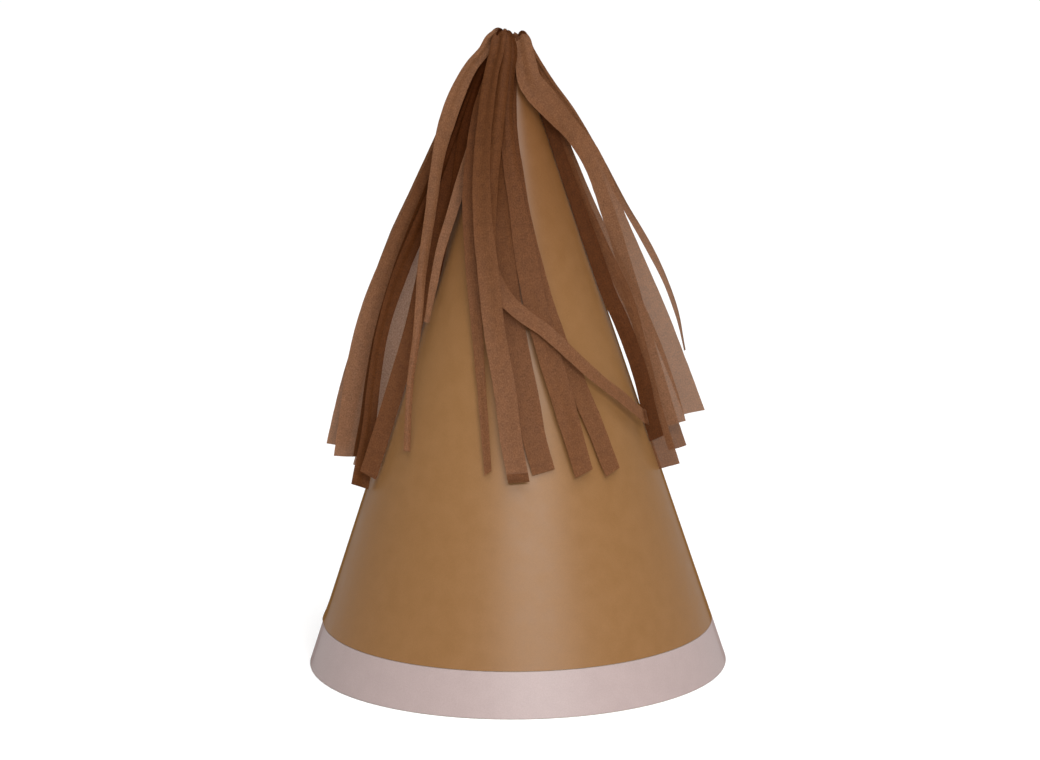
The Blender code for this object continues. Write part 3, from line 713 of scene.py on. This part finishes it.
def punch(piece):
    """Cuts the two elastic holes through a sheet, and leaves a plain mesh."""
    cutters = []
    for side in (-1, 1):
        azimuth = side * ELASTIC_HOLE_AZIMUTH
        normal = outward(azimuth) * math.cos(HALF_ANGLE) + Vector((0, 0, math.sin(HALF_ANGLE)))
        shape = bmesh.new()
        bmesh.ops.create_cone(
            shape, cap_ends=True, segments=40, radius1=ELASTIC_HOLE_RADIUS,
            radius2=ELASTIC_HOLE_RADIUS, depth=8 * MM,
        )
        mesh = bpy.data.meshes.new("pin")
        shape.to_mesh(mesh)
        shape.free()
        cutter = bpy.data.objects.new("pin", mesh)
        bpy.context.scene.collection.objects.link(cutter)
        height = ELASTIC_HOLE_SLANT * math.cos(HALF_ANGLE)
        place = outward(azimuth) * cone_radius(height) + Vector((0, 0, height))
        cutter.matrix_world = Matrix.Translation(place) @ normal.to_track_quat("Z", "Y").to_matrix().to_4x4()
        cut = piece.modifiers.new("punch", "BOOLEAN")
        cut.operation = "DIFFERENCE"
        cut.object = cutter
        cutters.append(cutter)
    bpy.context.view_layer.update()
    graph = bpy.context.evaluated_depsgraph_get()
    mesh = bpy.data.meshes.new_from_object(piece.evaluated_get(graph))
    piece.modifiers.clear()
    piece.data = mesh
    shade(mesh)
    for cutter in cutters:
        bpy.data.objects.remove(cutter)


def make_cone(materials):
    cover_levels = levels_between(COVER_BOTTOM, TIP_HEIGHT, COVER_LEVELS, COVER_FINENESS)
    cover = rolled_sheet("tan_cover", COVER_START_DEGREES, cover_levels, 0, PAPER_THICKNESS, edge_lift)
    piece = link("tan_cover", cover, "hat", materials["tan"])
    punch(piece)
    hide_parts("cover_paper")

    band_levels = levels_between(BAND_BOTTOM, BAND_TOP, BAND_LEVELS)
    band = rolled_sheet("rose_band", COVER_START_DEGREES, band_levels, 0, PAPER_THICKNESS)
    piece = link("rose_band", band, "hat", materials["rose"])
    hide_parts("rim_band")

    card_levels = levels_between(0, TIP_HEIGHT, CARD_LEVELS)
    card = rolled_sheet("rolled_card", 0, card_levels, CARD_OFFSET, CARD_THICKNESS)
    piece = link("rolled_card", card, "hat", materials["card"])
    punch(piece)
    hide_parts("card_cone")

    # These four keep the mesh of their CAD solid, and only their looks change.
    for node, material in (("seam_tape", "tape"), ("glue_plug", "glue"),
                           ("neck_thread", "thread"), ("tassel_neck", "spine")):
        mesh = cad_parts[node].data
        mesh.materials.clear()
        mesh.materials.append(materials[material])


# ---------------------------------------------------------------- the tassel


def spread(values, share):
    """The value at this share of the way along evenly spread values."""
    if len(values) == 1:
        return values[0]
    place = min(max(share, 0), 1) * (len(values) - 1)
    index = min(int(place), len(values) - 2)
    return values[index] + (values[index + 1] - values[index]) * smoothstep(place - index)


def smooth_path(points):
    """A centripetal Catmull-Rom curve through the points, with steps for each segment."""
    ends = [2 * points[0] - points[1], *points, 2 * points[-1] - points[-2]]
    knots = [0]
    for near, far in zip(ends, ends[1:]):
        knots.append(knots[-1] + math.sqrt((far - near).length) + 1e-6)
    slopes = []
    for index in range(1, len(ends) - 1):
        before = (ends[index] - ends[index - 1]) / (knots[index] - knots[index - 1])
        after = (ends[index + 1] - ends[index]) / (knots[index + 1] - knots[index])
        chord = (ends[index + 1] - ends[index - 1]) / (knots[index + 1] - knots[index - 1])
        slopes.append(before + after - chord)
    path = []
    for index in range(len(points) - 1):
        reach = knots[index + 2] - knots[index + 1]
        for step in range(STEPS_PER_SEGMENT):
            t = step / STEPS_PER_SEGMENT
            square, cube = t * t, t * t * t
            path.append(
                points[index] * (2 * cube - 3 * square + 1)
                + slopes[index] * (cube - 2 * square + t) * reach
                + points[index + 1] * (3 * square - 2 * cube)
                + slopes[index + 1] * (cube - square) * reach
            )
    path.append(points[-1])
    return path


def over_the_tip(half, first, chance):
    """The strip's way up out of the tip and over the fold, to just short of its first point."""
    middle = Vector((half, 0, 0)) * MM
    top = Vector((0, 0, APEX_HEIGHT))
    side = Vector((first.x, first.y, 0)) - middle
    away = side.normalized() * MM
    crest_drop = RIGHT_CREST_DROP if half > 0 else LEFT_CREST_DROP
    crest_drop += chance.uniform(0, CREST_DROP_SPREAD)
    crest = top + middle + away * CREST_REACH - Vector((0, 0, crest_drop * MM))
    shoulder = crest.lerp(first, SHOULDER_OUT)
    shoulder.z = crest.z - SHOULDER_DOWN * (crest.z - first.z)
    return [
        top + 0.4 * middle + away * 0.2 - Vector((0, 0, THROAT_DROP * MM)),
        top + 0.7 * middle + away * 0.1 - Vector((0, 0, 0.55 * THROAT_DROP * MM)),
        top + middle + away * 0.35 - Vector((0, 0, (crest_drop + 0.5) * MM)),
        crest,
        shoulder,
    ]


def tone_colour(tone, powers, thin):
    """A painted tone as a colour whose painted shade deepens in hue as it falls, with how thin
    the tissue is as its alpha.
    """
    return [*(tone ** power for power in powers), thin]


def strip_mesh(name, route, widths, rolls, shape, tones, half, chance):
    """A sheet of tissue along its route, creased, curled, pleated and rippled."""
    curl, crease, crease_place, hem, pleats = shape
    first = on_cone(*route[0])
    tip_points = over_the_tip(half, first, chance)
    path = smooth_path(tip_points + [on_cone(*place) for place in route])
    tip_steps = len(tip_points) * STEPS_PER_SEGMENT
    folded_from = len(path)
    if hem:
        end = path[-1]
        back = (path[-2] - end).normalized() * hem * MM
        proud = outward(route[-1][1]) * FOLDED_END_PROUD * MM
        path += [end + 0.1 * back + proud, end + 0.55 * back + proud, end + back + 0.8 * proud]
    travelled = [0]
    for near, far in zip(path, path[1:]):
        travelled.append(travelled[-1] + (far - near).length)
    visible = travelled[folded_from - 1] - travelled[tip_steps]
    ripple_phase = chance.uniform(0, math.tau)
    ripple_length = chance.uniform(*RIPPLE_LENGTH) * MM
    ripple_depth = chance.uniform(*RIPPLE_DEPTH)
    slant = chance.uniform(-END_SLANT, END_SLANT) * MM
    pleat_phase = chance.uniform(0, math.tau)
    seed = Vector((chance.uniform(0, 50), chance.uniform(0, 50), 0))
    verts = []
    uvs = []
    tone_values = []
    for index, place in enumerate(path):
        before = path[max(min(index, folded_from - 1) - 1, 0)]
        after = path[min(index + 1, folded_from - 1)]
        along = (after - before).normalized()
        share = (travelled[index] - travelled[tip_steps]) / visible
        if index < tip_steps:
            azimuth = route[0][1]
            climb = smoothstep(index / tip_steps)
            width = THROAT_WIDTH + (widths[0] - THROAT_WIDTH) * climb
            roll = rolls[0] * climb
        else:
            azimuth = math.degrees(math.atan2(place.x, -place.y))
            width = spread(widths, share)
            roll = spread(rolls, share)
        level = sideways(azimuth)
        level = (level - along * level.dot(along)).normalized()
        rising = along.cross(level)
        angle = math.radians(roll)
        across = level * math.cos(angle) + rising * math.sin(angle)
        through = along.cross(across)
        drop = (APEX_HEIGHT - place.z) / MM
        gather = 1 - smoothstep(drop / TOP_FADE_DROP)
        # Painted shade and light along the strip, with painted shade on its folded end.
        tone = tones[0] + (tones[1] - tones[0]) * smoothstep(share * PAINTED_TONE_RISE)
        tone *= FOLDED_END_PAINTED_SHADE if index >= folded_from else 1
        thin = tones[2] * smoothstep((drop - THIN_FROM_DROP) / THIN_REACH)
        for column in range(COLUMNS + 1):
            u = 2 * column / COLUMNS - 1
            height = curl * (u * u - 0.35) * (1 - 0.6 * gather)
            height += crease * (0.5 - abs(u - crease_place)) * (1 - gather)
            pleat_depth = GATHERED_PLEAT_DEPTH * gather + pleats
            height += pleat_depth * math.sin(PLEAT_RATE * u + pleat_phase)
            wave = travelled[index] / ripple_length * math.tau + ripple_phase + 0.8 * u
            height += ripple_depth * math.sin(wave) * smoothstep(share * 4)
            drift = noise.noise(seed + Vector((u * 0.7, travelled[index] / (DRIFT_LENGTH * MM), 0)))
            height += DRIFT_DEPTH * drift * smoothstep(share * 3)
            ragged = noise.noise(seed + Vector((3 * u, travelled[index] / (RAGGED_LENGTH * MM), 9)))
            reach = width * (1 + RAGGED_SHARE * ragged) / 2
            end = along * slant * u * smoothstep((share - (1 - END_SHARE)) / END_SHARE)
            verts.append(place + across * (u * reach * MM) + through * (height * MM) + end)
            uvs.append((u * width / 20, travelled[index] / (10 * MM)))
            tone_values += tone_colour(tone, PAINTED_TONE_POWERS, thin)
    faces = []
    row = COLUMNS + 1
    for index in range(len(path) - 1):
        for column in range(COLUMNS):
            low = index * row + column
            faces.append((low, low + 1, low + row + 1, low + row))
    mesh = bpy.data.meshes.new(name)
    mesh.from_pydata(verts, [], faces)
    layer = mesh.uv_layers.new(name="strip")
    for loop in mesh.loops:
        layer.data[loop.index].uv = uvs[loop.vertex_index]
    attribute = mesh.attributes.new("tone", "FLOAT_COLOR", "POINT")
    attribute.data.foreach_set("color", tone_values)
    mesh.shade_smooth()
    return mesh


def back_strips():
    """The back lock's strips, as rows like those of STRIPS."""
    chance = random.Random(BACK_SEED)
    rows = {}
    for number in range(BACK_STRIP_COUNT):
        share = number / (BACK_STRIP_COUNT - 1)
        azimuth = BACK_FIRST_AZIMUTH + (BACK_LAST_AZIMUTH - BACK_FIRST_AZIMUTH) * share
        lift = BACK_LOWEST_LIFT + BACK_LAYER_PITCH * (number * 3 % BACK_LAYERS)
        drift = chance.uniform(-BACK_DRIFT, BACK_DRIFT)
        sway = chance.uniform(-BACK_DRIFT, BACK_DRIFT) / 2
        end = chance.uniform(*BACK_END_DROP)
        route = []
        for drop in (*BACK_DROPS, end):
            along = drop / end
            turn = drift * along + sway * math.sin(math.tau * along)
            flare = BACK_TOP_FLARE * max(1 - drop / BACK_FLARE_DROP, 0)
            route.append((drop, azimuth + turn, lift + flare))
        rows[f"back_strip_{number + 1}"] = ("back_lock", route, BACK_WIDTHS, [0], BACK_SHAPE, BACK_PAINTED_TONE)
    return rows


def half_of(lock, azimuth):
    """Which half of the bundle a strip comes from."""
    if lock == "right_lock" or (lock == "back_lock" and azimuth < 180):
        return RIGHT_HALF
    return LEFT_HALF


def make_strips(materials):
    """Adds every strip, and returns them by the half of the tassel that they come from."""
    halves = {LEFT_HALF: [], RIGHT_HALF: []}
    for number, (name, row) in enumerate({**STRIPS, **back_strips()}.items()):
        lock, route, widths, rolls, shape, tones = row
        chance = random.Random(number)
        half = half_of(lock, route[0][1])
        mesh = strip_mesh(name, route, widths, rolls, shape, tones, half, chance)
        piece = link("tissue_" + name, mesh, None, materials["tissue"])
        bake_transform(piece)
        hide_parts(name)
        halves[half].append(piece)
    return halves


def gathered_mesh(name, half):
    """The pleated skin of one half of the tassel, from its throat up and over the fold."""
    crest_drop = RIGHT_CREST_DROP if half > 0 else LEFT_CREST_DROP
    # Each ring: its drop, how far it has moved out to the half's middle, and its radius.
    profile = [
        (THROAT_DROP, 0.4, 0.45),
        (0.6 * THROAT_DROP, 0.7, 0.55),
        (crest_drop + 1.5, 1.0, 0.6),
        (crest_drop + 0.8, 1.0, 0.95),
        (crest_drop + 0.75, 1.0, 1.4),
        (crest_drop + 1.4, 1.0, 1.9),
        (crest_drop + 2.8, 1.0, 2.2),
        (crest_drop + 4.4, 0.9, 2.3),
    ]
    seed = Vector((half, 3.0, 7.0))
    points = []
    tone_values = []
    for drop, shift, radius in profile:
        for side in range(GATHER_SIDES + 1):
            angle = math.tau * side / GATHER_SIDES
            fold = math.sin(GATHER_PLEATS * angle + 2 * math.sin(angle + half))
            dent = noise.noise(seed + Vector((math.cos(angle), math.sin(angle), drop * 0.4)))
            reach = radius * (1 + GATHER_FOLD_SHARE * fold + GATHER_DENT_SHARE * dent)
            sag = GATHER_SAG * fold * (radius - GATHER_THROAT_RADIUS)
            level = APEX_HEIGHT - (drop + sag) * MM
            points.append(Vector((half * shift + reach * math.cos(angle),
                                  reach * math.sin(angle), 0)) * MM + Vector((0, 0, level)))
            tone_values += tone_colour(GATHER_PAINTED_SHADE, GATHER_TONE_POWERS, 0)
    row = GATHER_SIDES + 1
    faces = []
    for ring in range(len(profile) - 1):
        for side in range(GATHER_SIDES):
            low = ring * row + side
            faces.append((low, low + 1, low + row + 1, low + row))
    mesh = bpy.data.meshes.new(name)
    mesh.from_pydata(points, [], faces)
    layer = mesh.uv_layers.new(name="strip")
    for loop in mesh.loops:
        ring, side = divmod(loop.vertex_index, row)
        layer.data[loop.index].uv = (side / GATHER_SIDES, ring / len(profile))
    attribute = mesh.attributes.new("tone", "FLOAT_COLOR", "POINT")
    attribute.data.foreach_set("color", tone_values)
    mesh.shade_smooth()
    return mesh


def make_crown(materials, halves):
    """The gathered tissue of the tassel's two halves."""
    for name, half in (("gathered_left_half", LEFT_HALF), ("gathered_right_half", RIGHT_HALF)):
        mesh = gathered_mesh(name, half)
        piece = link(name, mesh, "hat", materials["tissue"])
        if half == LEFT_HALF:
            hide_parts("tassel_crown")


# ---------------------------------------------------------------- the stage


CAMERA_PITCH = math.radians(11.65)
CAMERA_ROLL = math.radians(0.48)
CAMERA_DISTANCE = 0.969
CAMERA_AIM = Vector((0.0012, 0.0156, 0.0754))
CAMERA_LENS = 121.15
WORLD_STRENGTH = 0.08
FLOOR_SIZE = 14.0


def make_camera():
    forward = Vector((0, math.cos(CAMERA_PITCH), -math.sin(CAMERA_PITCH)))
    upward = Vector((0, math.sin(CAMERA_PITCH), math.cos(CAMERA_PITCH)))
    right = Vector((1, 0, 0))
    turned_right = right * math.cos(CAMERA_ROLL) - upward * math.sin(CAMERA_ROLL)
    turned_up = right * math.sin(CAMERA_ROLL) + upward * math.cos(CAMERA_ROLL)
    place = CAMERA_AIM - forward * CAMERA_DISTANCE
    camera = bpy.data.objects.new("camera", bpy.data.cameras.new("camera"))
    camera.data.lens = CAMERA_LENS
    camera.data.sensor_width = 36
    camera.data.clip_start = 0.05
    turn = Matrix((turned_right, turned_up, -forward)).transposed().to_4x4()
    camera.matrix_world = Matrix.Translation(place) @ turn
    bpy.context.scene.collection.objects.link(camera)
    bpy.context.scene.camera = camera


def area_light(name, azimuth, elevation, distance, size, power):
    """A soft box that faces the middle of the hat."""
    aim = Vector((0, 0, APEX_HEIGHT * 0.45))
    direction = outward(azimuth) * math.cos(math.radians(elevation))
    direction.z = math.sin(math.radians(elevation))
    data = bpy.data.lights.new(name, "AREA")
    data.shape = "RECTANGLE"
    data.size, data.size_y = size
    data.energy = power
    light = bpy.data.objects.new(name, data)
    light.location = aim + direction * distance
    light.rotation_euler = direction.to_track_quat("Z", "Y").to_euler()
    bpy.context.scene.collection.objects.link(light)


def far_light(name, azimuth, elevation, spread_angle, strength):
    """An even light from far off, with soft shadows."""
    direction = outward(azimuth) * math.cos(math.radians(elevation))
    direction.z = math.sin(math.radians(elevation))
    data = bpy.data.lights.new(name, "SUN")
    data.energy = strength
    data.angle = math.radians(spread_angle)
    light = bpy.data.objects.new(name, data)
    light.rotation_euler = direction.to_track_quat("Z", "Y").to_euler()
    bpy.context.scene.collection.objects.link(light)


def make_stage():
    material, tree, shader, add = new_material("pale_floor", 0.9, 0.1)
    place = add("ShaderNodeTexCoord").outputs["Object"]
    cloud = add("ShaderNodeTexNoise", {"Vector": place, "Scale": 3, "Detail": 2})
    ramp = add("ShaderNodeValToRGB", {"Fac": cloud.outputs["Fac"]})
    colour_ramp(ramp, [(0.3, (0.95, 0.95, 0.95)), (0.7, (0.97, 0.97, 0.97))])
    tree.links.new(ramp.outputs["Color"], shader.inputs["Base Color"])
    mesh = bpy.data.meshes.new("floor")
    half = FLOOR_SIZE / 2
    mesh.from_pydata([(-half, -half, 0), (half, -half, 0), (half, half, 0), (-half, half, 0)],
                     [], [(0, 1, 2, 3)])
    floor = link("floor", mesh, None, material)

    world = bpy.data.worlds.new("studio")
    world.use_nodes = True
    background = world.node_tree.nodes["Background"]
    background.inputs["Color"].default_value = (1, 1, 1, 1)
    background.inputs["Strength"].default_value = WORLD_STRENGTH
    bpy.context.scene.world = world
    area_light("key", 11.5, 25, 1.3, (0.85, 0.22), 11.5)
    far_light("overhead", 20, 80, 70, 3.15)
    bpy.context.scene.view_settings.view_transform = "Standard"


def main():
    materials = {
        # The tan paper's last colour is the painted shade at its tip.
        "tan": paper_material("tan_satin_paper", (0.212, 0.104, 0.037), (0.205, 0.1, 0.035),
                              (0.219, 0.108, 0.039), 0.41, 0.3, 0.12,
                              (0.66, 0.55, 0.45)),
        "rose": paper_material("rose_satin_paper", (0.352, 0.275, 0.262), (0.343, 0.268, 0.255),
                               (0.361, 0.282, 0.269), 0.42, 0.36, 0.12),
        "card": card_material(),
        "tissue": tissue_material("brown_tissue", (0.158, 0.065, 0.026), (0.38, 0.185, 0.095), 0.93, 0.2),
        "spine": thread_material("rolled_tissue", (0.05, 0.018, 0.008), (0.09, 0.035, 0.016)),
        "glue": glue_material(),
        "thread": thread_material("cotton_thread", (0.42, 0.33, 0.23), (0.68, 0.58, 0.44)),
        "tape": tape_material(),
    }
    make_camera()
    make_cone(materials)
    make_crown(materials, make_strips(materials))
    make_stage()


main()
